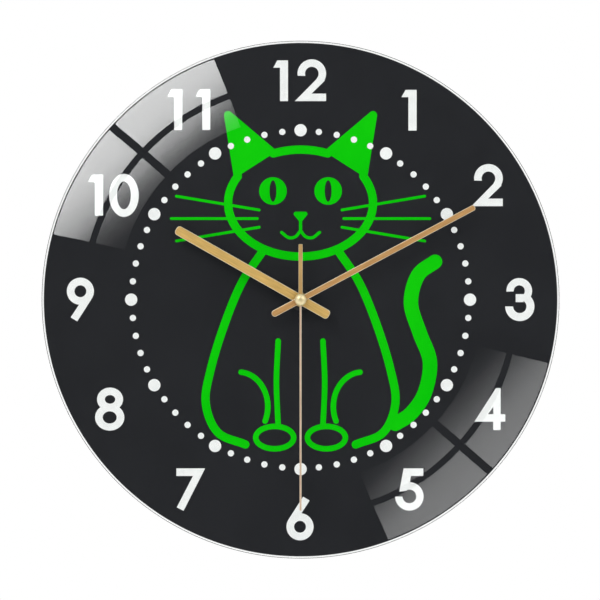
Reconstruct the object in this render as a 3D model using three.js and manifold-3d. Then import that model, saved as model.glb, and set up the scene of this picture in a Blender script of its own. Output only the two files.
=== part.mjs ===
// Round wall clock: a glass dial clamped to a quartz movement by its threaded post.
// Millimetres. The dial is laid out in its own plane: u to the right, v up, w out of the
// wall towards the viewer. The outer group turns that into +Z up with the dial facing -Y.
// Origin: on the hand arbor's axis, at the rear face of the movement, which lies on the wall.
import * as THREE from 'three';
import { mergeVertices } from 'three/addons/utils/BufferGeometryUtils.js';
import Module from 'manifold-3d';

const wasm = await Module();
wasm.setup();

// ---------------------------------------------------------------- driving dimensions
const DIAL_R = 150;            // glass disc radius
const GLASS_T = 4;             // glass thickness
const GLASS_BEVEL = 0.7;       // polished edge bevel
const PRINT_R = 148.9;         // printed layer radius
const PRINT_T = 0.3;
const DIAL_HOLE_R = 4.4;       // centre hole for the post

const CASE_HALF = 28;          // movement case is 56 x 56
const CASE_CORNER_R = 3;
const CASE_FRONT = 16;         // front face of the case
const FRONT_WALL = 1.5;        // front wall thickness
const SIDE_WALL = 1.4;
const COVER_T = 1.2;           // rear cover thickness

const BAY_TOP = -12.15;        // battery bay, opens to the rear
const BAY_BOTTOM = -27.05;
const BAY_HALF = 26.9;
const PARTITION_TOP = -11.2;   // wall between bay and mechanism

const POST_R = 4.0;            // M8 post
const POST_BORE_R = 2.75;
const POST_END = 25.3;
const HOUR_PIPE_R = 2.55;
const HOUR_PIPE_BORE_R = 1.95;
const MINUTE_PIPE_R = 1.75;
const MINUTE_PIPE_BORE_R = 0.8;
const SECONDS_ARBOR_R = 0.55;

// stack in front of the case, along w
const GASKET_W = [16.1, 17.1];
const FILM_W = [17.2, 17.2 + PRINT_T];
const GLASS_W = [17.9, 17.9 + GLASS_T];
const WASHER_W = [22.0, 22.6];
const NUT_W = [22.7, 24.9];
const HOUR_HAND_W = [26.1, 26.8];
const MINUTE_HAND_W = [28.2, 28.9];
const SECOND_HAND_W = [30.1, 30.5];
const CAP_W = [30.6, 33.2];

// hands: clock angle from 12, clockwise, in degrees
const HOUR_ANGLE = 299.5, MINUTE_ANGLE = 62.0, SECOND_ANGLE = 180;
const HOUR_HAND = { width: 5.5, tip: 82.7, tail: 18.9, corner: 2.0, eye: 3.6 };
const MINUTE_HAND = { root: 3.8, end: 3.3, tip: 114, tail: 18.7, eye: 3.2 };
const SECOND_HAND = { width: 1.15, tip: 121.8, tailWidth: 2.3, tail: 32, eye: 2.6 };

// wheel train: teeth and modules
const CANNON_T = 10, MOTION_T = 30, MOTION_PINION_T = 8, HOUR_T = 32, KNOB_T = 10, MOTION_M = 0.5;
const SECONDS_T = 30, INTER_PINION_T = 6, SECONDS_M = 0.6;
const INTER_T = 36, ROTOR_PINION_T = 6, ROTOR_M = 0.36;
const SECONDS_PINION_T = 6, THIRD_T = 45, THIRD_PINION_T = 6, CENTRE_T = 48, CENTRE_M = 0.4;
const THIRD_M = (THIRD_PINION_T + CENTRE_T) * CENTRE_M / (SECONDS_PINION_T + THIRD_T);

const deg = Math.PI / 180;
const at = (from, distance, degrees) =>
  [from[0] + distance * Math.cos(degrees * deg), from[1] + distance * Math.sin(degrees * deg)];
const ARBOR = [0, 0];
const MOTION_C = at(ARBOR, (CANNON_T + MOTION_T) * MOTION_M / 2, 150);
const KNOB_C = at(MOTION_C, (KNOB_T + MOTION_T) * MOTION_M / 2, 150);
const THIRD_C = at(ARBOR, (THIRD_PINION_T + CENTRE_T) * CENTRE_M / 2, 60);
const INTER_C = at(ARBOR, (SECONDS_T + INTER_PINION_T) * SECONDS_M / 2, -20);
const ROTOR_C = at(INTER_C, (INTER_T + ROTOR_PINION_T) * ROTOR_M / 2, 15);

// ---------------------------------------------------------------- shape helpers
function toSolid(geometry) {
  const bare = geometry.clone();
  bare.deleteAttribute('normal');
  bare.deleteAttribute('uv');
  const merged = mergeVertices(bare, 1e-4);
  const index = merged.index.array;
  const kept = [];
  for (let i = 0; i < index.length; i += 3) {
    const [a, b, c] = [index[i], index[i + 1], index[i + 2]];
    if (a !== b && b !== c && a !== c) kept.push(a, b, c);
  }
  return new wasm.Manifold(new wasm.Mesh({
    numProp: 3,
    vertProperties: new Float32Array(merged.attributes.position.array),
    triVerts: new Uint32Array(kept),
  }));
}

function toGeometry(solid) {
  const mesh = solid.getMesh();
  const geometry = new THREE.BufferGeometry();
  geometry.setAttribute('position', new THREE.BufferAttribute(new Float32Array(mesh.vertProperties), 3));
  geometry.setIndex(new THREE.BufferAttribute(new Uint32Array(mesh.triVerts), 1));
  geometry.computeVertexNormals();
  return geometry;
}

// adds the first list of geometries together, then cuts the second list from them
function build(parts, cuts = []) {
  let solid = toSolid(parts[0]);
  for (const part of parts.slice(1)) solid = solid.add(toSolid(part));
  for (const cut of cuts) solid = solid.subtract(toSolid(cut));
  return toGeometry(solid);
}

function prism(shape, w0, w1, curveSegments = 4) {
  const geometry = new THREE.ExtrudeGeometry(shape, { depth: w1 - w0, bevelEnabled: false, curveSegments });
  geometry.translate(0, 0, w0);
  return geometry;
}

function block(u0, u1, v0, v1, w0, w1) {
  const geometry = new THREE.BoxGeometry(u1 - u0, v1 - v0, w1 - w0);
  geometry.translate((u0 + u1) / 2, (v0 + v1) / 2, (w0 + w1) / 2);
  return geometry;
}

function rod(radius, w0, w1, segments = 16, centre = [0, 0]) {
  const geometry = new THREE.CylinderGeometry(radius, radius, w1 - w0, segments);
  geometry.rotateX(Math.PI / 2);
  geometry.translate(centre[0], centre[1], (w0 + w1) / 2);
  return geometry;
}

// turned profile of [radius, w] points, counter-clockwise with the radius to the right
function turned(profile, segments, centre = [0, 0]) {
  const geometry = new THREE.LatheGeometry(profile.map(([r, w]) => new THREE.Vector2(r, w)), segments);
  geometry.rotateX(Math.PI / 2);
  geometry.translate(centre[0], centre[1], 0);
  return geometry;
}

function ring(inner, outer, w0, w1, segments, centre) {
  return turned([[inner, w0], [outer, w0], [outer, w1], [inner, w1], [inner, w0]], segments, centre);
}

function roundedRect(u0, u1, v0, v1, r, Kind = THREE.Shape) {
  const s = new Kind();
  s.moveTo(u0 + r, v0);
  s.lineTo(u1 - r, v0);
  s.absarc(u1 - r, v0 + r, r, -Math.PI / 2, 0, false);
  s.lineTo(u1, v1 - r);
  s.absarc(u1 - r, v1 - r, r, 0, Math.PI / 2, false);
  s.lineTo(u0 + r, v1);
  s.absarc(u0 + r, v1 - r, r, Math.PI / 2, Math.PI, false);
  s.lineTo(u0, v0 + r);
  s.absarc(u0 + r, v0 + r, r, Math.PI, Math.PI * 1.5, false);
  return s;
}

// gear outline with straight-flanked teeth; a pinion's leaves are slimmer than a wheel's teeth
const WHEEL_TOOTH = { tip: 0.8, root: 1.15, tipFill: 0.22, rootFill: 0.48 };
const PINION_LEAF = { tip: 0.85, root: 1.15, tipFill: 0.2, rootFill: 0.4 };
function gear(teeth, module, phase, form, w0, w1, centre = [0, 0]) {
  const pitchR = teeth * module / 2;
  const tipR = pitchR + form.tip * module, rootR = pitchR - form.root * module;
  const step = 2 * Math.PI / teeth;
  const points = [];
  for (let i = 0; i < teeth; i++) {
    const a = phase + i * step;
    for (const [r, half] of [[rootR, -form.rootFill], [tipR, -form.tipFill], [tipR, form.tipFill], [rootR, form.rootFill]]) {
      points.push(new THREE.Vector2(centre[0] + r * Math.cos(a + half * step / 2), centre[1] + r * Math.sin(a + half * step / 2)));
    }
  }
  return prism(new THREE.Shape(points), w0, w1);
}

// phase that puts gear B in mesh with gear A, given A's phase and both centres
function meshPhase(teethA, phaseA, centreA, teethB, centreB) {
  const line = Math.atan2(centreB[1] - centreA[1], centreB[0] - centreA[0]);
  const cyclesA = teethA * (line - phaseA) / (2 * Math.PI);
  return line + Math.PI - 2 * Math.PI * (0.5 - cyclesA) / teethB;
}

// ---------------------------------------------------------------- materials and scene graph
const clock = new THREE.Group();
clock.rotation.x = Math.PI / 2;

const finish = (color, roughness, metalness) => () => new THREE.MeshStandardMaterial({ color, roughness, metalness });
const GLASS = finish(0xdfeee8, 0.05, 0);
const PRINT = finish(0x242528, 0.45, 0);
const GOLD = finish(0xcea860, 0.35, 1);
const BLACK_METAL = finish(0x1b1b1d, 0.4, 0.8);
const BRASS = finish(0xc9a24a, 0.3, 1);
const STEEL = finish(0xb9bcc0, 0.3, 1);
const RUBBER = finish(0x161616, 0.9, 0);
const BLACK_PLASTIC = finish(0x1d1e20, 0.6, 0);
const WHITE_PLASTIC = finish(0xe9e8e2, 0.45, 0);
const COPPER = finish(0xb5622c, 0.35, 1);
const BOARD = finish(0x2b5b3a, 0.6, 0);
const MAGNET = finish(0x5a5c60, 0.45, 0.7);
const LABEL = finish(0x2d6a8f, 0.4, 0.1);

function place(name, geometry, material, parent = clock, turn = 0) {
  const mesh = new THREE.Mesh(geometry, material());
  mesh.name = name;
  mesh.rotation.z = turn;
  parent.add(mesh);
  return mesh;
}

// ---------------------------------------------------------------- glass dial and its clamp
const b = GLASS_BEVEL;
place('glass_dial', turned([
  [DIAL_HOLE_R, GLASS_W[0]], [DIAL_R - b, GLASS_W[0]], [DIAL_R, GLASS_W[0] + b],
  [DIAL_R, GLASS_W[1] - b], [DIAL_R - b, GLASS_W[1]], [DIAL_HOLE_R, GLASS_W[1]], [DIAL_HOLE_R, GLASS_W[0]],
], 80), GLASS);
place('dial_print_film', ring(DIAL_HOLE_R, PRINT_R, FILM_W[0], FILM_W[1], 80), PRINT);
place('rubber_gasket', ring(POST_R + 0.35, 9, GASKET_W[0], GASKET_W[1], 24), RUBBER);
place('dial_washer', ring(POST_R + 0.3, 6.4, WASHER_W[0], WASHER_W[1], 24), BLACK_METAL);

const hexagon = new THREE.Shape(Array.from({ length: 6 }, (_, i) =>
  new THREE.Vector2(5.5 / Math.cos(30 * deg) * Math.cos(i * 60 * deg), 5.5 / Math.cos(30 * deg) * Math.sin(i * 60 * deg))));
place('dial_nut', build([prism(hexagon, NUT_W[0], NUT_W[1])], [rod(POST_R + 0.2, 22, 26, 24)]), BLACK_METAL);

place('threaded_post', turned([
  [POST_BORE_R, 13.5], [6.5, 13.5], [6.5, 14.4], [POST_R, 14.4], [POST_R, POST_END - 0.4],
  [POST_R - 0.4, POST_END], [POST_BORE_R, POST_END], [POST_BORE_R, 13.5],
], 24), BRASS);

// ---------------------------------------------------------------- front case
const MECH = { u: CASE_HALF - SIDE_WALL, v0: PARTITION_TOP, v1: CASE_HALF - SIDE_WALL };
const PLATE_POSTS = [[-24, 24], [24.6, 24.6], [-24, -7.4], [24.4, -7.0]];
{
  const parts = [prism(roundedRect(-CASE_HALF, CASE_HALF, -CASE_HALF, CASE_HALF, CASE_CORNER_R), 0.2, CASE_FRONT)];
  const cuts = [
    block(-30, 30, MECH.v0, 30, -1, 1.3),                                        // step that the rear cover fills
    prism(roundedRect(-MECH.u, MECH.u, MECH.v0, MECH.v1, 1.6), -1, CASE_FRONT - FRONT_WALL),
    block(-BAY_HALF, BAY_HALF, BAY_BOTTOM, BAY_TOP, -1, 15.1),                   // battery bay
    block(-26.9, -25.9, -12.6, -5.8, -1, 11.4),                                  // contact slots in the partition
    block(25.9, 26.9, -12.6, -9.4, -1, 11.4),
    block(-7, 7, -29, -26.5, -1, 6),                                             // finger notch under the battery
    rod(POST_R + 0.2, 10, 17, 24),
  ];
  let solid = toSolid(parts[0]);
  for (const cut of cuts) solid = solid.subtract(toSolid(cut));
  for (const c of PLATE_POSTS) solid = solid.add(toSolid(rod(1.6, 9.1, CASE_FRONT - 1, 8, c)));
  solid = solid.add(toSolid(rod(1.6, 13.6, CASE_FRONT - 1, 8, MOTION_C)));
  solid = solid.subtract(toSolid(rod(0.85, 13, 15.3, 8, MOTION_C)));
  place('front_case', toGeometry(solid), BLACK_PLASTIC);
}

// ---------------------------------------------------------------- rear cover with hanger eye
{
  const outline = new THREE.Shape();
  const c = CASE_HALF, r = CASE_CORNER_R, low = PARTITION_TOP + 0.1;
  outline.moveTo(-c, low);
  outline.lineTo(c, low);
  outline.lineTo(c, c - r);
  outline.absarc(c - r, c - r, r, 0, Math.PI / 2, false);
  outline.lineTo(-c + r, c);
  outline.absarc(-c + r, c - r, r, Math.PI / 2, Math.PI, false);
  const lipOuter = [-MECH.u + 0.3, MECH.u - 0.3, MECH.v0 + 0.3, MECH.v1 - 0.3];
  const lip = roundedRect(...lipOuter, 1.4);
  lip.holes.push(roundedRect(lipOuter[0] + 0.9, lipOuter[1] - 0.9, lipOuter[2] + 0.9, lipOuter[3] - 0.9, 0.6, THREE.Path));
  const eyeTab = (low) => {                       // tapered tab with a round head, from height low up
    const tab = new THREE.Shape();
    const half = 8.4 + (34 - low) * 0.36;
    tab.moveTo(-half, low);
    tab.lineTo(half, low);
    tab.lineTo(8.4, 33.9);
    tab.absarc(0, 33.6, 8.4, 0.05, Math.PI - 0.05, false);
    tab.lineTo(-8.4, 33.9);
    return tab;
  };
  const bosses = [ARBOR, THIRD_C, INTER_C, ROTOR_C];
  const parts = [
    prism(outline, 0, COVER_T), prism(lip, COVER_T - 0.1, 2.4), prism(eyeTab(27), 0, COVER_T, 8),
    prism(eyeTab(28.2), 0, 1.9, 8),
    rod(8.2, 0.1, 4.2, 20, KNOB_C),
    ...bosses.map((p) => rod(1.5, 1, 2.1, 8, p)),
  ];
  const cuts = [
    rod(7.2, -1, 3.2, 20, KNOB_C), rod(1.5, 3, 5, 12, KNOB_C),
    rod(4, -1, 3, 16, [0, 34.2]),
    ...bosses.map((p, i) => rod(i === 0 ? 0.75 : 0.6, 0.7, 3, 8, p)),
  ];
  place('rear_cover', build(parts, cuts), BLACK_PLASTIC);
}

// ---------------------------------------------------------------- middle plate
{
  const plate = roundedRect(-26.3, 26.3, -9.5, 26.3, 1.4);
  const pillars = [[-23.5, -1.3], [-12.6, -1.3]].map((p) => rod(1, 4.5, 8.1, 8, p));
  const screwPillars = [[21.6, 23.9], [21.6, -7.6]].map((p) => rod(1.7, 5.2, 8.1, 10, p));
  const holes = [
    rod(MINUTE_PIPE_R + 0.25, 7, 10, 16), rod(1.5, 7, 10, 12, KNOB_C), rod(0.85, 7, 10, 8, MOTION_C),
    rod(0.6, 7, 10, 8, THIRD_C), rod(0.6, 7, 10, 8, INTER_C), rod(0.6, 7, 10, 8, ROTOR_C),
    ...[[21.6, 23.9], [21.6, -7.6]].map((p) => rod(0.95, 5, 7.8, 8, p)),
    block(-27, -25.9, -10, -5.6, 7, 10),                                         // room for the positive contact
  ];
  place('mid_plate', build([prism(plate, 8, 9), ...pillars, ...screwPillars], holes), WHITE_PLASTIC);
}

// ---------------------------------------------------------------- motion work: minute pipe, motion wheel, hour wheel
const cannonPhase = 0;
const motionPhase = meshPhase(CANNON_T, cannonPhase, ARBOR, MOTION_T, MOTION_C);
const motionPinionPhase = 0.2;
const hourPhase = meshPhase(MOTION_PINION_T, motionPinionPhase, MOTION_C, HOUR_T, ARBOR);
const knobPhase = meshPhase(MOTION_T, motionPhase, MOTION_C, KNOB_T, KNOB_C);

place('minute_pipe', build([
  turned([[0, 5.6], [MINUTE_PIPE_R, 5.6], [MINUTE_PIPE_R, 7.1], [2.6, 7.1], [2.6, 7.7], [MINUTE_PIPE_R, 7.7],
    [MINUTE_PIPE_R, 29.3], [0, 29.3]], 16),
  gear(CANNON_T, MOTION_M, cannonPhase, PINION_LEAF, 10.2, 11.6),
], [rod(MINUTE_PIPE_BORE_R, 5, 30, 12)]), BRASS);

place('motion_wheel', build([
  turned([[0, 8.2], [0.6, 8.2], [0.6, 15.0], [0, 15.0]], 12, MOTION_C),
  gear(MOTION_T, MOTION_M, motionPhase, WHEEL_TOOTH, 10.4, 11.2, MOTION_C),
  gear(MOTION_PINION_T, MOTION_M, motionPinionPhase, PINION_LEAF, 11.1, 13.4, MOTION_C),
]), WHITE_PLASTIC);

place('hour_wheel', build([
  turned([[0, 12.0], [3.6, 12.0], [3.6, 13.3], [HOUR_PIPE_R, 13.3], [HOUR_PIPE_R, 27.0], [0, 27.0]], 20),
  gear(HOUR_T, MOTION_M, hourPhase, WHEEL_TOOTH, 12.2, 13.2),
], [rod(HOUR_PIPE_BORE_R, 11, 28, 16)]), WHITE_PLASTIC);

// ---------------------------------------------------------------- going train
const secondsPhase = 0;
const interPinionPhase = meshPhase(SECONDS_T, secondsPhase, ARBOR, INTER_PINION_T, INTER_C);
const interPhase = 0;
const rotorPhase = meshPhase(INTER_T, interPhase, INTER_C, ROTOR_PINION_T, ROTOR_C);
const secondsPinionPhase = 0;
const thirdPhase = meshPhase(SECONDS_PINION_T, secondsPinionPhase, ARBOR, THIRD_T, THIRD_C);
const thirdPinionPhase = 0;
const centrePhase = meshPhase(THIRD_PINION_T, thirdPinionPhase, THIRD_C, CENTRE_T, ARBOR);

place('seconds_wheel', build([
  turned([[0, 0.9], [SECONDS_ARBOR_R, 0.9], [SECONDS_ARBOR_R, 31.6], [0, 31.6]], 10),
  gear(SECONDS_T, SECONDS_M, secondsPhase, WHEEL_TOOTH, 2.6, 3.4),
  gear(SECONDS_PINION_T, THIRD_M, secondsPinionPhase, PINION_LEAF, 3.3, 5.2),
]), STEEL);

place('third_wheel', build([
  turned([[0, 0.9], [0.4, 0.9], [0.4, 8.7], [0, 8.7]], 8, THIRD_C),
  gear(THIRD_T, THIRD_M, thirdPhase, WHEEL_TOOTH, 3.9, 4.7, THIRD_C),
  gear(THIRD_PINION_T, CENTRE_M, thirdPinionPhase, PINION_LEAF, 4.6, 7.2, THIRD_C),
]), WHITE_PLASTIC);

place('centre_wheel', build([
  gear(CENTRE_T, CENTRE_M, centrePhase, WHEEL_TOOTH, 6.0, 6.7),
  rod(3.2, 5.7, 6.9, 16),
], [rod(MINUTE_PIPE_R + 0.25, 5, 8, 16)]), BRASS);

place('intermediate_wheel', build([
  turned([[0, 0.9], [0.4, 0.9], [0.4, 8.7], [0, 8.7]], 8, INTER_C),
  gear(INTER_PINION_T, SECONDS_M, interPinionPhase, PINION_LEAF, 2.4, 5.1, INTER_C),
  gear(INTER_T, ROTOR_M, interPhase, WHEEL_TOOTH, 5.0, 5.6, INTER_C),
]), WHITE_PLASTIC);

place('rotor_pinion', build([
  turned([[0, 0.9], [0.36, 0.9], [0.36, 2.0], [0.5, 2.0], [0.5, 5.9], [0.36, 5.9], [0.36, 8.6], [0, 8.6]], 8, ROTOR_C),
  gear(ROTOR_PINION_T, ROTOR_M, rotorPhase, PINION_LEAF, 4.8, 5.8, ROTOR_C),
]), WHITE_PLASTIC);
place('rotor_magnet', ring(0.7, 2.6, 2.4, 4.5, 16, ROTOR_C), MAGNET);

// ---------------------------------------------------------------- hand setting
place('setting_shaft', build([
  turned([[0, 0.9], [1.0, 0.9], [1.0, 13.0], [0, 13.0]], 10, KNOB_C),
  gear(KNOB_T, MOTION_M, knobPhase, PINION_LEAF, 10.0, 11.6, KNOB_C),
]), WHITE_PLASTIC);
{
  const knurl = [];
  for (let i = 0; i < 48; i++) {
    const a = i * 7.5 * deg, r = i % 2 ? 5.5 : 5.9;
    knurl.push(new THREE.Vector2(KNOB_C[0] + r * Math.cos(a), KNOB_C[1] + r * Math.sin(a)));
  }
  place('setting_knob', build([prism(new THREE.Shape(knurl), 0.3, 2.8)], [rod(1.2, 0.6, 4, 10, KNOB_C)]), WHITE_PLASTIC);
}

// ---------------------------------------------------------------- motor: stator, core, coil
const COIL_U = 21.6;
place('stator_plate', build([
  rod(4.4, 3.0, 3.8, 20, ROTOR_C),
  block(15.4, 17.8, 0, 25.8, 3.0, 3.8),
  block(15.4, 23.4, 22.7, 25.5, 3.0, 3.8),
  block(15.2, 23.4, -9.2, -5.8, 3.0, 3.8),
], [
  rod(3.1, 2, 5, 16, ROTOR_C),
  rod(0.95, 2, 5, 8, [COIL_U, 23.9]), rod(0.95, 2, 5, 8, [COIL_U, -7.6]),
]), STEEL);
place('coil_core', build([block(COIL_U - 1.25, COIL_U + 1.25, -9.2, 25.8, 3.9, 5.1)], [
  rod(0.95, 3, 6, 8, [COIL_U, 23.9]), rod(0.95, 3, 6, 8, [COIL_U, -7.6]),
]), STEEL);
place('coil_bobbin', build([
  block(COIL_U - 2.2, COIL_U + 2.2, 3.4, 22.2, 2.9, 6.1),
  block(COIL_U - 3.4, COIL_U + 3.4, 3.4, 4.2, 1.5, 7.5),
  block(COIL_U - 3.4, COIL_U + 3.4, 21.4, 22.2, 1.5, 7.5),
], [block(COIL_U - 1.45, COIL_U + 1.45, 3, 23, 3.7, 5.3)]), WHITE_PLASTIC);
{
  // the winding is wound round the bobbin along v: a rounded ring drawn in the u-w plane
  const outer = roundedRect(-3.1, 3.1, -2.7, 2.7, 1.2);
  outer.holes.push(roundedRect(-2.4, 2.4, -1.8, 1.8, 0.3, THREE.Path));
  const winding = new THREE.ExtrudeGeometry(outer, { depth: 16.8, bevelEnabled: false, curveSegments: 3 });
  winding.rotateX(-Math.PI / 2);
  winding.translate(COIL_U, 4.4, 4.5);
  place('coil_winding', winding, COPPER);
}
for (const [name, v] of [['coil_screw_top', 23.9], ['coil_screw_bottom', -7.6]]) {
  place(name, turned([[0, 2.1], [1.25, 2.1], [1.25, 2.9], [0.7, 2.9], [0.7, 7.2], [0, 7.2]], 10, [COIL_U, v]), STEEL);
}

// ---------------------------------------------------------------- circuit board
place('circuit_board', block(-24.9, -10.9, -10.4, 0.4, 3.6, 4.4), BOARD);
place('ic_blob', turned([[0, 2.5], [1.4, 2.65], [2.3, 3.0], [2.7, 3.5], [0, 3.5]], 14, [-15.2, -5.2]), BLACK_PLASTIC);
{
  const can = new THREE.CylinderGeometry(0.55, 0.55, 5, 12);
  can.rotateZ(Math.PI / 2);
  can.translate(-20.4, -2.2, 2.95);
  place('crystal_can', can, STEEL);
}

// ---------------------------------------------------------------- battery and its contacts
const CELL_V = (BAY_TOP + BAY_BOTTOM) / 2, CELL_W = 7.7;
place('battery_contact_positive', build([
  block(-26.6, -26.2, -25, -6, 3, 11),
  block(-26.5, -21.5, -9, -6, 4.55, 4.95),
]), STEEL);
{
  const turns = 3.2, points = [];
  for (let i = 0; i <= 48; i++) {
    const t = i / 48, a = t * turns * 2 * Math.PI, r = 4.1 - 1.5 * t;
    points.push(new THREE.Vector3(26.25 - 2.3 * t, CELL_V + r * Math.cos(a), CELL_W + r * Math.sin(a)));
  }
  const wire = new THREE.Shape(Array.from({ length: 6 }, (_, i) =>
    new THREE.Vector2(0.3 * Math.cos(i * 60 * deg), 0.3 * Math.sin(i * 60 * deg))));
  const spring = new THREE.ExtrudeGeometry(wire, { steps: 44, bevelEnabled: false, extrudePath: new THREE.CatmullRomCurve3(points) });
  place('battery_contact_negative', build([
    block(26.2, 26.6, -25, -9.9, 3, 11),
    spring,
    block(-14, 26.6, -10.3, -9.9, 9.4, 10.9),
    block(-14, -12, -10.3, -9.9, 4.55, 10.9),
    block(-14, -12, -10.3, -8, 4.55, 4.95),
  ]), STEEL);
}
{
  const can = turned([[0, 0], [6.6, 0], [7.1, 0.5], [7.1, 47.9], [6.5, 48.5], [0, 48.5]], 28);
  can.rotateY(-Math.PI / 2);                    // along -u: flat end at the spring, cap at the left
  can.translate(23.5, CELL_V, CELL_W);
  place('battery_cell', can, LABEL);
  const cap = turned([[0, 48.6], [2.75, 48.6], [2.75, 49.3], [2.4, 49.6], [0, 49.6]], 16);
  cap.rotateY(-Math.PI / 2);
  cap.translate(23.5, CELL_V, CELL_W);
  place('battery_positive_cap', cap, STEEL);
}

// ---------------------------------------------------------------- hands
function bar(halfRoot, halfEnd, tip, tail, corner) {
  const s = new THREE.Shape();
  const k = corner ?? null;
  s.moveTo(-halfRoot + (k ?? halfRoot), -tail);
  if (k) s.lineTo(halfRoot - k, -tail);
  s.absarc(halfRoot - (k ?? halfRoot), -tail + (k ?? halfRoot), k ?? halfRoot, -Math.PI / 2, 0, false);
  s.lineTo(halfEnd, tip - (k ?? halfEnd));
  s.absarc(halfEnd - (k ?? halfEnd), tip - (k ?? halfEnd), k ?? halfEnd, 0, Math.PI / 2, false);
  s.absarc(-halfEnd + (k ?? halfEnd), tip - (k ?? halfEnd), k ?? halfEnd, Math.PI / 2, Math.PI, false);
  s.lineTo(-halfRoot, -tail + (k ?? halfRoot));
  s.absarc(-halfRoot + (k ?? halfRoot), -tail + (k ?? halfRoot), k ?? halfRoot, Math.PI, Math.PI * 1.5, false);
  return s;
}
const H = HOUR_HAND, M = MINUTE_HAND, S = SECOND_HAND;
place('hour_hand', build([
  prism(bar(H.width / 2, H.width / 2, H.tip, H.tail, H.corner), ...HOUR_HAND_W, 4), rod(H.eye, ...HOUR_HAND_W, 20),
], [rod(HOUR_PIPE_R + 0.12, 25, 28, 20)]), GOLD, clock, -HOUR_ANGLE * deg);
place('minute_hand', build([
  prism(bar(M.root / 2, M.end / 2, M.tip, M.tail), ...MINUTE_HAND_W, 4), rod(M.eye, ...MINUTE_HAND_W, 20),
], [rod(MINUTE_PIPE_R + 0.12, 27, 30, 16)]), GOLD, clock, -MINUTE_ANGLE * deg);
place('second_hand', build([
  prism(bar(S.width / 2, S.width / 2, S.tip, 1), ...SECOND_HAND_W, 4),
  prism(bar(S.tailWidth / 2, S.tailWidth / 2, 1, S.tail, 1.0), ...SECOND_HAND_W, 4),
  rod(S.eye, ...SECOND_HAND_W, 16),
], [rod(SECONDS_ARBOR_R + 0.12, 29, 32, 10)]), GOLD, clock, -SECOND_ANGLE * deg);
place('second_hand_cap', turned([
  [0, 31.75], [0.75, 31.75], [0.75, CAP_W[0]], [3.5, CAP_W[0]], [3.5, 31.1], [3.25, 31.85], [2.6, 32.5],
  [1.5, 33.0], [0, CAP_W[1]],
], 20), GOLD);

export default clock;
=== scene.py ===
import math

import bpy
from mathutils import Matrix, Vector
from mathutils.geometry import delaunay_2d_cdt, tessellate_polygon


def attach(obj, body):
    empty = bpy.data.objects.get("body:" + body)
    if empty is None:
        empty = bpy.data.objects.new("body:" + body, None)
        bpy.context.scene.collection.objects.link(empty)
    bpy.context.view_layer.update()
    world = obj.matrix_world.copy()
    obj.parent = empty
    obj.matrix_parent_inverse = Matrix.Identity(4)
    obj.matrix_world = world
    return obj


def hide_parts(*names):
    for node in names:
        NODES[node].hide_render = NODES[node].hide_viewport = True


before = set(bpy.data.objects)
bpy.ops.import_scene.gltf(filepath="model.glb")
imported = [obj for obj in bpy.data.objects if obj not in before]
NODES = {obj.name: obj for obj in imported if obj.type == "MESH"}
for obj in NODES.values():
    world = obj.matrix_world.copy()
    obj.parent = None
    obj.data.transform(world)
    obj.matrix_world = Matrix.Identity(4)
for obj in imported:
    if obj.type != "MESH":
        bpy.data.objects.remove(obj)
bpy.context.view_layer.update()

MM = 0.001


# ---------------------------------------------------------------- geometry
# u is right and v is up on the dial, and w goes from the wall to the viewer, in mm.
def P(u, v, w):
    return (u * MM, -w * MM, v * MM)


def new_object(name, verts, faces, mat=None, sharp=32.0, smooth=True):
    me = bpy.data.meshes.new(name)
    me.from_pydata(verts, [], faces)
    me.validate()
    me.update()
    if smooth:
        me.set_sharp_from_angle(angle=math.radians(sharp))
        for p in me.polygons:
            p.use_smooth = abs(p.normal.y) < 0.9999 and abs(p.normal.x) < 0.9999
    ob = bpy.data.objects.new(name, me)
    bpy.context.scene.collection.objects.link(ob)
    if mat is not None:
        for m in mat if isinstance(mat, (list, tuple)) else [mat]:
            me.materials.append(m)
    return ob


def lathe(name, prof, mat, at=(0, 0), n=96, to=None, wobble=None, sharp=32.0):
    """Turns a closed (r, w) outline round the axis through at; points with r 0 close it on the axis."""
    to = to or (lambda a, b, w: P(at[0] + a, at[1] + b, w))
    verts, rows, faces = [], [], []
    for r, w in prof:
        if r < 1e-9:
            rows.append([len(verts)])
            verts.append(to(0, 0, w))
        else:
            row = []
            for i in range(n):
                t = 2 * math.pi * i / n
                rr = r if wobble is None else r * wobble(t, r, w)
                row.append(len(verts))
                verts.append(to(rr * math.cos(t), rr * math.sin(t), w))
            rows.append(row)
    m = len(rows)
    axial = any(len(r) == 1 for r in rows)
    for j in range(m - 1 if axial else m):
        a, b = rows[j], rows[(j + 1) % m]
        for i in range(n):
            k = (i + 1) % n
            if len(a) == 1 and len(b) == 1:
                break
            if len(a) == 1:
                faces.append((a[0], b[k], b[i]))
            elif len(b) == 1:
                faces.append((a[i], a[k], b[0]))
            else:
                faces.append((a[i], a[k], b[k], b[i]))
    ob = new_object(name, verts, faces, mat, sharp)
    fix_normals(ob)
    return ob


def fix_normals(ob):
    import bmesh

    bm = bmesh.new()
    bm.from_mesh(ob.data)
    bmesh.ops.recalc_face_normals(bm, faces=bm.faces)
    bm.to_mesh(ob.data)
    bm.free()
    ob.data.update()


def area2(loop):
    return sum(
        loop[i][0] * loop[(i + 1) % len(loop)][1]
        - loop[(i + 1) % len(loop)][0] * loop[i][1]
        for i in range(len(loop))
    )


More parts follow.
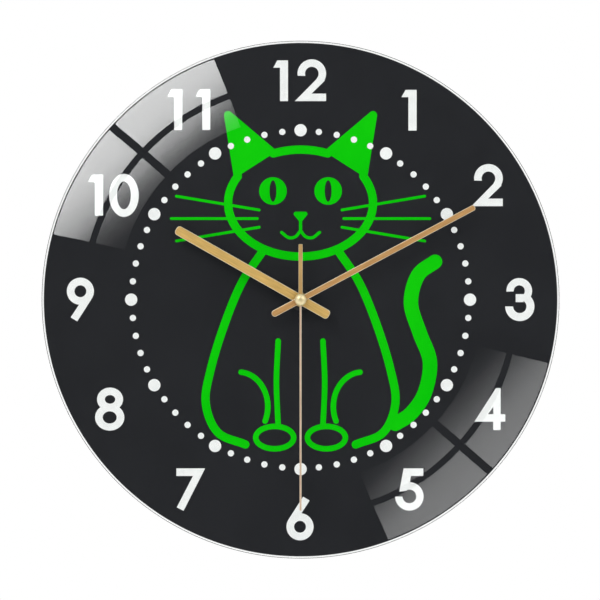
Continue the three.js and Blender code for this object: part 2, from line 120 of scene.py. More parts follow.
def inset(loop, d):
    """The loop moved d to its left, so a counter-clockwise outline shrinks and a clockwise hole grows."""
    n, out = len(loop), []
    for i in range(n):
        (ax, ay), (bx, by), (cx, cy) = loop[i - 1], loop[i], loop[(i + 1) % n]
        e1, e2 = Vector((bx - ax, by - ay)), Vector((cx - bx, cy - by))
        if e1.length < 1e-9 or e2.length < 1e-9:
            out.append((bx, by))
            continue
        e1.normalize()
        e2.normalize()
        n1, n2 = Vector((-e1.y, e1.x)), Vector((-e2.y, e2.x))
        s = (n1 + n2) / max(0.35, 1 + n1.dot(n2))
        out.append((bx + s.x * d, by + s.y * d))
    return out


def plate(name, outer, holes, w0, w1, mat, top=0.2, bottom=0.2, steps=2, sharp=32.0, ride=None):
    """A flat plate from w0 to w1 with rounded edges at its two faces."""
    loops = [outer if area2(outer) > 0 else outer[::-1]]
    loops += [h if area2(h) < 0 else h[::-1] for h in holes]
    rings = []
    for k in range(steps + 1 if bottom else 1):
        a = math.pi / 2 * k / steps if bottom else 0
        rings.append((bottom * (1 - math.sin(a)) if bottom else 0, w0 + bottom * (1 - math.cos(a))))
    for k in range(steps + 1 if top else 1):
        a = math.pi / 2 * k / steps if top else 0
        rings.append((top * (1 - math.cos(a)) if top else 0, w1 - top * (1 - math.sin(a))))
    verts, faces, caps = [], [], []
    first, last = [], []
    for loop in loops:
        rows = []
        for d, w in rings:
            row = []
            for u, v in inset(loop, d) if d > 1e-9 else loop:
                row.append(len(verts))
                verts.append(P(u, v, w))
            rows.append(row)
        n = len(loop)
        for a, b in zip(rows, rows[1:]):
            for i in range(n):
                k = (i + 1) % n
                faces.append((a[i], a[k], b[k], b[i]))
        first.append(rows[0])
        last.append(rows[-1])
    for rows, flip in ((first, True), (last, False)):
        flat = [i for r in rows for i in r]
        polys = [[Vector((verts[i][0] / MM, verts[i][2] / MM, 0)) for i in r] for r in rows]
        for t in tessellate_polygon(polys):
            f = tuple(flat[i] for i in t)
            x = [verts[i] for i in f]
            up = (x[1][0] - x[0][0]) * (x[2][2] - x[0][2]) - (x[1][2] - x[0][2]) * (x[2][0] - x[0][0]) > 0
            faces.append(f if up != flip else f[::-1])
    ob = new_object(name, verts, faces, mat, sharp)
    return ob


def circle(cu, cv, r, n=48, a0=0.0):
    return [
        (cu + r * math.cos(a0 + 2 * math.pi * i / n), cv + r * math.sin(a0 + 2 * math.pi * i / n))
        for i in range(n)
    ]


def arc(cu, cv, rx, ry, a0, a1, n=24):
    """Points of an ellipse's arc, angles in degrees, counter-clockwise from +u."""
    return [
        (
            cu + rx * math.cos(math.radians(a0 + (a1 - a0) * i / n)),
            cv + ry * math.sin(math.radians(a0 + (a1 - a0) * i / n)),
        )
        for i in range(n + 1)
    ]


def rounded(pts, r, n=6):
    """A closed outline with its corners rounded; r is a number or one for each corner."""
    out, m = [], len(pts)
    rs = r if isinstance(r, (list, tuple)) else [r] * m
    for i in range(m):
        p, q, s = Vector(pts[i - 1]), Vector(pts[i]), Vector(pts[(i + 1) % m])
        rr = rs[i]
        if rr <= 0:
            out.append(tuple(q))
            continue
        a, b = (p - q).normalized(), (s - q).normalized()
        half = math.acos(max(-1, min(1, a.dot(b)))) / 2
        cut = rr / math.tan(half)
        cut = min(cut, (p - q).length * 0.499, (s - q).length * 0.499)
        rr = cut * math.tan(half)
        t0, t1 = q + a * cut, q + b * cut
        c = q + (a + b).normalized() * (rr / math.sin(half))
        v0, v1 = t0 - c, t1 - c
        g0 = math.atan2(v0.y, v0.x)
        dg = math.atan2(v1.y, v1.x) - g0
        while dg > math.pi:
            dg -= 2 * math.pi
        while dg < -math.pi:
            dg += 2 * math.pi
        for k in range(n + 1):
            g = g0 + dg * k / n
            out.append((c.x + rr * math.cos(g), c.y + rr * math.sin(g)))
    return out


def smooth_path(pts, k=7):
    """An open Catmull-Rom path through pts."""
    if len(pts) < 3:
        return list(pts)
    p = [Vector(x) for x in pts]
    p = [p[0] * 2 - p[1]] + p + [p[-1] * 2 - p[-2]]
    out = []
    for i in range(1, len(p) - 2):
        a, b, c, d = p[i - 1], p[i], p[i + 1], p[i + 2]
        for j in range(k):
            t = j / k
            q = 0.5 * (2 * b + (c - a) * t + (2 * a - 5 * b + 4 * c - d) * t * t + (3 * b - a - 3 * c + d) * t**3)
            out.append((q.x, q.y))
    out.append(tuple(pts[-1]))
    return out


def outline(segments):
    """One closed outline from paths that meet at corners; a path that begins with "L" has straight sides."""
    out = []
    for s in segments:
        out += (list(s[1:]) if s[0] == "L" else smooth_path(s))[:-1]
    tidy = []
    for q in out:
        if not tidy or (Vector(q) - Vector(tidy[-1])).length > 0.02:
            tidy.append(q)
    return tidy


def brush(pts, width, k=10, blunt=0.0):
    """A stroke along a curve, widest in the middle and pointed at both ends."""
    c = [Vector(x) for x in smooth_path(pts, k)]
    left, right = [], []
    for i, q in enumerate(c):
        t = i / (len(c) - 1)
        d = (c[min(i + 1, len(c) - 1)] - c[max(i - 1, 0)]).normalized()
        h = width / 2 * (blunt + (1 - blunt) * math.sin(math.pi * t) ** 0.8)
        nrm = Vector((-d.y, d.x))
        left.append(tuple(q + nrm * h))
        right.append(tuple(q - nrm * h))
    return left + right[::-1]


def ink(name, polys, holes, w, mat):
    """One thin layer of ink: the union of the outlines less the holes, facing the viewer."""
    pts, faces = [], []
    for poly in polys + holes:
        poly = poly if area2(poly) > 0 else poly[::-1]
        faces.append(list(range(len(pts), len(pts) + len(poly))))
        pts += [Vector(p) for p in poly]
    v, _, f, _, _, forig = delaunay_2d_cdt(pts, [], faces, 0, 1e-5)
    n = len(polys)
    keep = []
    for tri, orig in zip(f, forig):
        if any(o < n for o in orig) and not any(o >= n for o in orig):
            x = [v[i] for i in tri]
            up = (x[1].x - x[0].x) * (x[2].y - x[0].y) - (x[1].y - x[0].y) * (x[2].x - x[0].x) > 0
            keep.append(tuple(tri) if up else tuple(tri)[::-1])
    used = sorted({i for t in keep for i in t})
    at = {i: k for k, i in enumerate(used)}
    ob = new_object(name, [P(v[i].x, v[i].y, w) for i in used], [tuple(at[i] for i in t) for t in keep], mat, smooth=False)
    return ob


def put(ob, body, slot, *stands_for):
    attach(ob, body)
    if stands_for:
        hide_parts(*stands_for)
    return ob


# --------------------------------------------------------------- materials
def srgb(r, g, b):
    f = lambda c: c / 12.92 if c <= 0.04045 else ((c + 0.055) / 1.055) ** 2.4
    return (f(r / 255), f(g / 255), f(b / 255), 1.0)


def material(name, base, dark=None, scale=40.0, rough=0.5, rough2=None, metal=0.0, bump=0.0, bump_scale=300.0,
             stretch=None, coat=0.0, detail=4.0, spec=None, contrast=(0.35, 0.65), turn=0.0):
    """A surface whose colour, gloss and relief come from noise in the object's own space."""
    m = bpy.data.materials.new(name)
    m.use_nodes = True
    nt = m.node_tree
    b = nt.nodes["Principled BSDF"]
    b.inputs["Metallic"].default_value = metal
    if coat:
        b.inputs["Coat Weight"].default_value = coat
        b.inputs["Coat Roughness"].default_value = 0.08
    if spec is not None:
        b.inputs["Specular IOR Level"].default_value = spec
    tc = nt.nodes.new("ShaderNodeTexCoord")
    mp = nt.nodes.new("ShaderNodeMapping")
    nt.links.new(tc.outputs["Object"], mp.inputs["Vector"])
    mp.inputs["Scale"].default_value = stretch or (1, 1, 1)
    mp.inputs["Rotation"].default_value = (0, turn, 0)
    nz = nt.nodes.new("ShaderNodeTexNoise")
    nz.inputs["Scale"].default_value = scale
    nz.inputs["Detail"].default_value = detail
    nt.links.new(mp.outputs["Vector"], nz.inputs["Vector"])
    cr = nt.nodes.new("ShaderNodeValToRGB")
    cr.color_ramp.elements[0].position, cr.color_ramp.elements[1].position = contrast
    cr.color_ramp.elements[0].color = dark or tuple(c * 0.86 for c in base[:3]) + (1,)
    cr.color_ramp.elements[1].color = base
    nt.links.new(nz.outputs["Fac"], cr.inputs["Fac"])
    nt.links.new(cr.outputs["Color"], b.inputs["Base Color"])
    if rough2 is None:
        b.inputs["Roughness"].default_value = rough
    else:
        mr = nt.nodes.new("ShaderNodeMapRange")
        mr.inputs["From Min"].default_value, mr.inputs["From Max"].default_value = 0.3, 0.7
        mr.inputs["To Min"].default_value, mr.inputs["To Max"].default_value = rough, rough2
        nt.links.new(nz.outputs["Fac"], mr.inputs["Value"])
        nt.links.new(mr.outputs["Result"], b.inputs["Roughness"])
    if bump:
        nb = nt.nodes.new("ShaderNodeTexNoise")
        nb.inputs["Scale"].default_value = bump_scale
        nb.inputs["Detail"].default_value = 3.0
        nt.links.new(mp.outputs["Vector"], nb.inputs["Vector"])
        bp = nt.nodes.new("ShaderNodeBump")
        bp.inputs["Strength"].default_value = bump
        bp.inputs["Distance"].default_value = 0.0002
        nt.links.new(nb.outputs["Fac"], bp.inputs["Height"])
        nt.links.new(bp.outputs["Normal"], b.inputs["Normal"])
    return m


M = {}
M["film"] = material("charcoal_film", srgb(38, 39, 42), srgb(35, 36, 39), scale=30, rough=0.62, rough2=0.7, spec=0.06)
M["green"] = material("green_ink", srgb(14, 202, 6), srgb(2, 195, 3), scale=22, rough=0.6, rough2=0.68, spec=0.04)
M["white"] = material("white_ink", srgb(243, 245, 244), srgb(236, 238, 237), scale=260, rough=0.6, rough2=0.68, spec=0.1)
M["hour"] = material("hour_hand_gold", (0.84, 0.555, 0.175, 1), (0.64, 0.41, 0.12, 1), scale=900, rough=0.38, rough2=0.5, metal=0.6,
                     bump=0.3, bump_scale=1600, contrast=(0.3, 0.7))
M["minute"] = material("minute_hand_gold", (0.70, 0.395, 0.145, 1), (0.52, 0.275, 0.095, 1), scale=900, rough=0.38, rough2=0.5, metal=0.6,
                       bump=0.3, bump_scale=1600, contrast=(0.3, 0.7))
# A paler gold for the hands' bevelled edges: a painted edge highlight that stands in for light catching the bevels, not
# a different metal.
M["edge"] = material("hand_edge_painted_highlight", (0.88, 0.78, 0.60, 1), (0.78, 0.67, 0.48, 1), scale=300, rough=0.3, rough2=0.4, metal=0.5)
M["second"] = material("second_hand_gold", (0.80, 0.60, 0.44, 1), (0.68, 0.48, 0.34, 1), scale=900, rough=0.36, rough2=0.46, metal=0.5)
M["second2"] = material("counterweight_gold", (0.66, 0.42, 0.155, 1), (0.54, 0.33, 0.115, 1), scale=900, rough=0.38, rough2=0.5, metal=0.5)
M["dome"] = material("polished_gold", (0.95, 0.82, 0.50, 1), (0.84, 0.69, 0.38, 1), scale=500, rough=0.34, rough2=0.44, metal=0.8)
M["nut"] = material("black_oxide", srgb(33, 34, 36), srgb(26, 27, 29), scale=220, rough=0.5, rough2=0.62, metal=0.2, bump=0.1)
M["brass"] = material("plain_brass", (0.72, 0.52, 0.24, 1), (0.55, 0.38, 0.16, 1), scale=260, rough=0.3, rough2=0.45, metal=1.0)
M["case"] = material("grained_black_plastic", srgb(34, 34, 36), srgb(24, 24, 26), scale=180, rough=0.48, rough2=0.62, bump=0.6, bump_scale=1400)
M["case2"] = material("inner_black_plastic", srgb(38, 38, 40), srgb(28, 28, 30), scale=160, rough=0.45, rough2=0.6, bump=0.25, bump_scale=900)
M["ivory"] = material("white_acetal", srgb(226, 224, 214), srgb(206, 203, 190), scale=140, rough=0.4, rough2=0.52, bump=0.1, bump_scale=500)
M["steel"] = material("plain_steel", (0.62, 0.62, 0.61, 1), (0.46, 0.46, 0.46, 1), scale=260, rough=0.28, rough2=0.42, metal=1.0)
M["nickel"] = material("contact_nickel", (0.72, 0.70, 0.66, 1), (0.55, 0.53, 0.5, 1), scale=200, rough=0.22, rough2=0.36, metal=1.0)
M["copper"] = material("enamelled_copper", (0.72, 0.28, 0.11, 1), (0.5, 0.16, 0.06, 1), scale=90, rough=0.28, rough2=0.42, metal=0.9,
                       stretch=(14, 1, 1), coat=0.4)
M["board"] = material("board_resin_tan", srgb(122, 84, 38), srgb(96, 64, 26), scale=240, rough=0.5, rough2=0.62)
M["blob"] = material("black_epoxy", srgb(18, 18, 20), srgb(10, 10, 11), scale=60, rough=0.2, rough2=0.3, coat=0.3)
M["rubber"] = material("black_rubber", srgb(28, 28, 28), srgb(20, 20, 20), scale=120, rough=0.78, rough2=0.88, bump=0.3)
M["magnet"] = material("ferrite_grey", srgb(84, 84, 88), srgb(62, 62, 66), scale=240, rough=0.5, rough2=0.62, metal=0.4, bump=0.2)


# -------------------------------------------- the dial's numerals, in mm
# Outlines, u right and v up from the dial's centre.
NUMERALS = [
    [(-15.98, 134.41), (-13.59, 138.87), (-7.17, 138.87), (-7.17, 115.03), (-12.04, 115.03), (-12.04, 134.41)],
    [(-1.78, 129.75), (-1.88, 130.74), (-1.86, 131.74), (-1.73, 132.72), (-1.48, 133.68), (-1.11, 134.61), (-0.65, 135.48), (-0.08, 136.3), (0.58, 137.04), (1.33, 137.7), (2.14, 138.27), (3.02, 138.73), (3.95, 139.09), (4.91, 139.34), (5.9, 139.47), (6.89, 139.48), (7.88, 139.38), (8.85, 139.16), (9.78, 138.82), (10.68, 138.38), (11.51, 137.84), (12.27, 137.2), (12.95, 136.48), (13.54, 135.68), (14.03, 134.81), (14.42, 133.9), (14.7, 132.94), (14.86, 131.96), (14.9, 130.97), (14.83, 129.98), (14.64, 129.0), (14.33, 128.06), (13.92, 127.16), (14.18, 126.95), (6.61, 119.59), (14.9, 119.59), (14.9, 115.03), (-3.54, 115.03), (9.2, 127.99), (9.36, 128.53), (9.74, 129.03), (10.03, 129.58), (10.23, 130.18), (10.33, 130.8), (10.33, 131.42), (10.22, 132.04), (10.02, 132.64), (9.72, 133.19), (9.34, 133.68), (8.88, 134.11), (8.35, 134.46), (7.78, 134.71), (7.17, 134.87), (6.55, 134.93), (5.92, 134.88), (5.31, 134.74), (4.74, 134.5), (4.21, 134.16), (3.74, 133.74), (3.34, 133.26), (3.03, 132.71), (2.81, 132.12), (2.7, 131.51), (2.68, 130.88), (2.77, 130.26), (2.95, 129.66)],
    [(58.32, 117.31), (60.79, 121.77), (67.44, 121.77), (67.44, 97.94), (62.4, 97.94), (62.4, 117.31)],
    [(100.61, 68.95), (100.51, 69.94), (100.53, 70.95), (100.67, 71.94), (100.92, 72.91), (101.28, 73.84), (101.75, 74.73), (102.32, 75.55), (102.99, 76.3), (103.74, 76.96), (104.56, 77.53), (105.44, 78.0), (106.37, 78.36), (107.34, 78.61), (108.33, 78.74), (109.33, 78.76), (110.33, 78.65), (111.3, 78.43), (112.24, 78.09), (113.14, 77.65), (113.97, 77.1), (114.74, 76.46), (115.42, 75.73), (116.02, 74.92), (116.51, 74.05), (116.9, 73.13), (117.18, 72.16), (117.34, 71.18), (117.39, 70.17), (117.31, 69.18), (117.12, 68.19), (116.82, 67.24), (116.4, 66.33), (116.66, 66.12), (109.05, 58.7), (117.39, 58.7), (117.39, 54.1), (98.84, 54.1), (111.66, 67.17), (111.81, 67.71), (112.19, 68.22), (112.49, 68.78), (112.69, 69.37), (112.79, 70.0), (112.79, 70.63), (112.68, 71.26), (112.48, 71.85), (112.18, 72.41), (111.79, 72.91), (111.33, 73.34), (110.8, 73.69), (110.23, 73.95), (109.62, 74.11), (108.99, 74.17), (108.36, 74.12), (107.75, 73.97), (107.16, 73.73), (106.63, 73.39), (106.16, 72.97), (105.76, 72.48), (105.45, 71.93), (105.23, 71.34), (105.11, 70.71), (105.1, 70.08), (105.18, 69.46), (105.37, 68.85)],
    [(119.27, 4.56), (119.27, 5.63), (119.43, 6.69), (119.73, 7.72), (120.17, 8.7), (120.75, 9.6), (121.45, 10.42), (122.26, 11.12), (123.16, 11.71), (124.13, 12.16), (125.16, 12.47), (126.22, 12.63), (127.29, 12.64), (128.36, 12.49), (129.39, 12.2), (130.37, 11.77), (131.28, 11.2), (132.1, 10.5), (132.81, 9.7), (133.4, 8.81), (133.86, 7.84), (134.18, 6.81), (134.35, 5.76), (134.37, 4.68), (134.24, 3.62), (133.96, 2.58), (133.53, 1.6), (132.97, 0.68), (132.28, -0.14), (131.49, -0.86), (130.6, -1.46), (128.37, 2.4), (128.8, 2.69), (129.17, 3.05), (129.47, 3.47), (129.7, 3.93), (129.85, 4.42), (129.92, 4.94), (129.9, 5.45), (129.8, 5.96), (129.61, 6.44), (129.35, 6.89), (129.02, 7.28), (128.62, 7.62), (128.18, 7.88), (127.7, 8.07), (127.19, 8.17), (126.68, 8.19), (126.16, 8.13), (125.67, 7.98), (125.21, 7.75), (124.79, 7.44), (124.42, 7.07), (124.13, 6.65), (123.91, 6.18), (123.77, 5.68), (123.71, 5.17), (123.74, 4.65)],
    [(124.64, 3.33), (129.41, 3.33), (129.41, -1.54), (124.64, -1.54)],
    [(118.53, -3.78), (118.59, -4.95), (118.81, -6.11), (119.18, -7.22), (119.71, -8.28), (120.37, -9.25), (121.16, -10.12), (122.06, -10.88), (123.06, -11.5), (124.13, -11.99), (125.26, -12.32), (126.42, -12.5), (127.6, -12.52), (128.76, -12.37), (129.9, -12.07), (130.99, -11.61), (132.0, -11.02), (132.92, -10.28), (133.73, -9.43), (134.42, -8.48), (134.98, -7.44), (135.38, -6.34), (135.64, -5.19), (135.73, -4.02), (135.66, -2.84), (135.43, -1.69), (135.05, -0.58), (134.52, 0.47), (133.85, 1.44), (133.05, 2.31), (132.15, 3.06), (131.15, 3.68), (130.07, 4.15), (128.4, -0.42), (128.97, -0.69), (129.49, -1.04), (129.94, -1.48), (130.31, -1.99), (130.59, -2.55), (130.78, -3.15), (130.86, -3.77), (130.83, -4.4), (130.7, -5.01), (130.47, -5.59), (130.14, -6.13), (129.73, -6.6), (129.24, -7.0), (128.7, -7.31), (128.11, -7.53), (127.49, -7.64), (126.86, -7.65), (126.24, -7.55), (125.65, -7.35), (125.09, -7.05), (124.6, -6.67), (124.17, -6.2), (123.83, -5.68), (123.59, -5.1), (123.44, -4.49), (123.4, -3.86)],
    [(113.24, -51.18), (116.14, -51.18), (116.14, -66.31), (118.84, -66.31), (118.84, -70.87), (116.14, -70.87), (116.14, -75.74), (111.58, -75.74), (111.58, -70.87), (100.6, -70.87)],
    [(59.67, -97.71), (71.27, -97.71), (71.27, -102.37), (64.12, -102.37), (63.19, -107.35), (61.74, -110.97), (57.08, -111.49)],
    [(54.69, -114.08), (54.81, -115.47), (55.15, -116.82), (55.72, -118.1), (56.48, -119.26), (57.43, -120.29), (58.54, -121.14), (59.77, -121.79), (61.09, -122.23), (62.47, -122.45), (63.86, -122.44), (65.24, -122.19), (66.55, -121.73), (67.77, -121.05), (68.86, -120.18), (69.79, -119.14), (70.53, -117.96), (71.07, -116.67), (71.39, -115.31), (71.48, -113.92), (71.34, -112.53), (70.97, -111.19), (70.38, -109.92), (69.59, -108.77), (68.62, -107.77), (67.5, -106.94), (66.26, -106.31), (64.93, -105.89), (63.55, -105.7), (62.15, -105.74), (60.78, -106.01), (59.48, -106.5), (58.27, -107.21), (60.89, -110.94), (61.57, -110.56), (62.32, -110.32), (63.1, -110.25), (63.88, -110.33), (64.63, -110.57), (65.31, -110.96), (65.9, -111.47), (66.37, -112.1), (66.7, -112.81), (66.89, -113.57), (66.91, -114.35), (66.78, -115.12), (66.49, -115.85), (66.06, -116.51), (65.5, -117.06), (64.85, -117.49), (64.12, -117.77), (63.34, -117.91), (62.56, -117.88), (61.8, -117.69), (61.09, -117.36), (60.47, -116.88), (59.95, -116.29), (59.57, -115.61), (59.33, -114.86), (59.25, -114.08)],
    [(7.65, -131.7), (7.58, -132.74), (7.38, -133.76), (7.04, -134.75), (6.58, -135.69), (6.0, -136.55), (5.31, -137.34), (4.53, -138.03), (3.66, -138.61), (2.72, -139.07), (1.73, -139.4), (0.71, -139.61), (-0.33, -139.68), (-1.37, -139.61), (-2.4, -139.4), (-3.38, -139.07), (-4.32, -138.61), (-5.19, -138.03), (-5.97, -137.34), (-6.66, -136.55), (-7.24, -135.69), (-7.7, -134.75), (-8.04, -133.76), (-8.24, -132.74), (-8.31, -131.7), (-8.24, -130.66), (-8.04, -129.63), (-7.7, -128.64), (-7.24, -127.71), (-6.66, -126.84), (-5.97, -126.06), (-5.19, -125.37), (-4.32, -124.79), (-3.38, -124.33), (-2.4, -123.99), (-1.37, -123.79), (-0.33, -123.72), (0.71, -123.79), (1.73, -123.99), (2.72, -124.33), (3.66, -124.79), (4.53, -125.37), (5.31, -126.06), (6.0, -126.84), (6.58, -127.71), (7.04, -128.64), (7.38, -129.63), (7.58, -130.66)],
    [(-7.17, -127.55), (1.43, -114.08), (5.47, -116.46), (0.6, -123.93), (-3.54, -128.28)],
    [(-72.14, -97.71), (-55.15, -97.71), (-67.79, -122.58), (-71.94, -120.51), (-62.61, -102.37), (-72.14, -102.37)],
    [(-102.82, -57.81), (-102.89, -58.8), (-103.13, -59.77), (-103.51, -60.7), (-104.03, -61.57), (-104.69, -62.36), (-105.46, -63.06), (-106.34, -63.65), (-107.3, -64.13), (-108.32, -64.47), (-109.39, -64.69), (-110.48, -64.76), (-111.58, -64.69), (-112.64, -64.47), (-113.67, -64.13), (-114.63, -63.65), (-115.51, -63.06), (-116.28, -62.36), (-116.94, -61.57), (-117.46, -60.7), (-117.84, -59.77), (-118.07, -58.8), (-118.15, -57.81), (-118.07, -56.82), (-117.84, -55.86), (-117.46, -54.93), (-116.94, -54.06), (-116.28, -53.27), (-115.51, -52.57), (-114.63, -51.97), (-113.67, -51.5), (-112.64, -51.15), (-111.58, -50.94), (-110.48, -50.87), (-109.39, -50.94), (-108.32, -51.15), (-107.3, -51.5), (-106.34, -51.97), (-105.46, -52.57), (-104.69, -53.27), (-104.03, -54.06), (-103.51, -54.93), (-103.13, -55.86), (-102.89, -56.82)],
    [(-102.09, -68.28), (-102.16, -69.29), (-102.38, -70.29), (-102.75, -71.25), (-103.24, -72.16), (-103.87, -73.01), (-104.61, -73.77), (-105.46, -74.44), (-106.39, -75.01), (-107.4, -75.46), (-108.47, -75.79), (-109.57, -75.98), (-110.69, -76.05), (-111.81, -75.98), (-112.92, -75.79), (-113.98, -75.46), (-114.99, -75.01), (-115.93, -74.44), (-116.77, -73.77), (-117.51, -73.01), (-118.14, -72.16), (-118.64, -71.25), (-119.0, -70.29), (-119.22, -69.29), (-119.29, -68.28), (-119.22, -67.26), (-119.0, -66.27), (-118.64, -65.3), (-118.14, -64.39), (-117.51, -63.55), (-116.77, -62.78), (-115.93, -62.11), (-114.99, -61.55), (-113.98, -61.1), (-112.92, -60.77), (-111.81, -60.57), (-110.69, -60.51), (-109.57, -60.57), (-108.47, -60.77), (-107.4, -61.1), (-106.39, -61.55), (-105.46, -62.11), (-104.61, -62.78), (-103.87, -63.55), (-103.24, -64.39), (-102.75, -65.3), (-102.38, -66.27), (-102.16, -67.26)],
    [(-119.71, 4.88), (-119.78, 3.84), (-119.98, 2.82), (-120.31, 1.83), (-120.78, 0.89), (-121.36, 0.02), (-122.04, -0.76), (-122.83, -1.45), (-123.7, -2.03), (-124.63, -2.49), (-125.62, -2.83), (-126.64, -3.03), (-127.69, -3.1), (-128.73, -3.03), (-129.75, -2.83), (-130.74, -2.49), (-131.68, -2.03), (-132.54, -1.45), (-133.33, -0.76), (-134.02, 0.02), (-134.6, 0.89), (-135.06, 1.83), (-135.39, 2.82), (-135.6, 3.84), (-135.67, 4.88), (-135.6, 5.92), (-135.39, 6.95), (-135.06, 7.93), (-134.6, 8.87), (-134.02, 9.74), (-133.33, 10.52), (-132.54, 11.21), (-131.68, 11.79), (-130.74, 12.25), (-129.75, 12.59), (-128.73, 12.79), (-127.69, 12.86), (-126.64, 12.79), (-125.62, 12.59), (-124.63, 12.25), (-123.7, 11.79), (-122.83, 11.21), (-122.04, 10.52), (-121.36, 9.74), (-120.78, 8.87), (-120.31, 7.93), (-119.98, 6.95), (-119.78, 5.92)],
    [(-120.85, 0.74), (-129.45, -12.74), (-133.49, -10.35), (-128.62, -2.89), (-124.47, 1.46)],
    [(-123.44, 68.07), (-121.0, 72.55), (-114.42, 72.55), (-114.42, 48.61), (-119.41, 48.61), (-119.41, 68.07)],
    [(-93.7, 60.48), (-93.75, 59.07), (-93.92, 57.67), (-94.19, 56.32), (-94.56, 55.01), (-95.03, 53.78), (-95.6, 52.63), (-96.25, 51.57), (-96.97, 50.63), (-97.77, 49.81), (-98.62, 49.13), (-99.53, 48.59), (-100.46, 48.2), (-101.43, 47.96), (-102.4, 47.88), (-103.38, 47.96), (-104.34, 48.2), (-105.28, 48.59), (-106.18, 49.13), (-107.03, 49.81), (-107.83, 50.63), (-108.56, 51.57), (-109.21, 52.63), (-109.77, 53.78), (-110.24, 55.01), (-110.62, 56.32), (-110.89, 57.67), (-111.05, 59.07), (-111.11, 60.48), (-111.05, 61.88), (-110.89, 63.28), (-110.62, 64.63), (-110.24, 65.94), (-109.77, 67.17), (-109.21, 68.33), (-108.56, 69.38), (-107.83, 70.32), (-107.03, 71.14), (-106.18, 71.82), (-105.28, 72.36), (-104.34, 72.75), (-103.38, 72.99), (-102.4, 73.07), (-101.43, 72.99), (-100.46, 72.75), (-99.53, 72.36), (-98.62, 71.82), (-97.77, 71.14), (-96.97, 70.32), (-96.25, 69.38), (-95.6, 68.33), (-95.03, 67.17), (-94.56, 65.94), (-94.19, 64.63), (-93.92, 63.28), (-93.75, 61.88)],
    [(-77.32, 117.62), (-74.94, 122.08), (-68.52, 122.08), (-68.52, 98.25), (-73.39, 98.25), (-73.39, 117.62)],
    [(-61.06, 117.62), (-58.67, 122.08), (-52.25, 122.08), (-52.25, 98.25), (-57.12, 98.25), (-57.12, 117.62)],
]
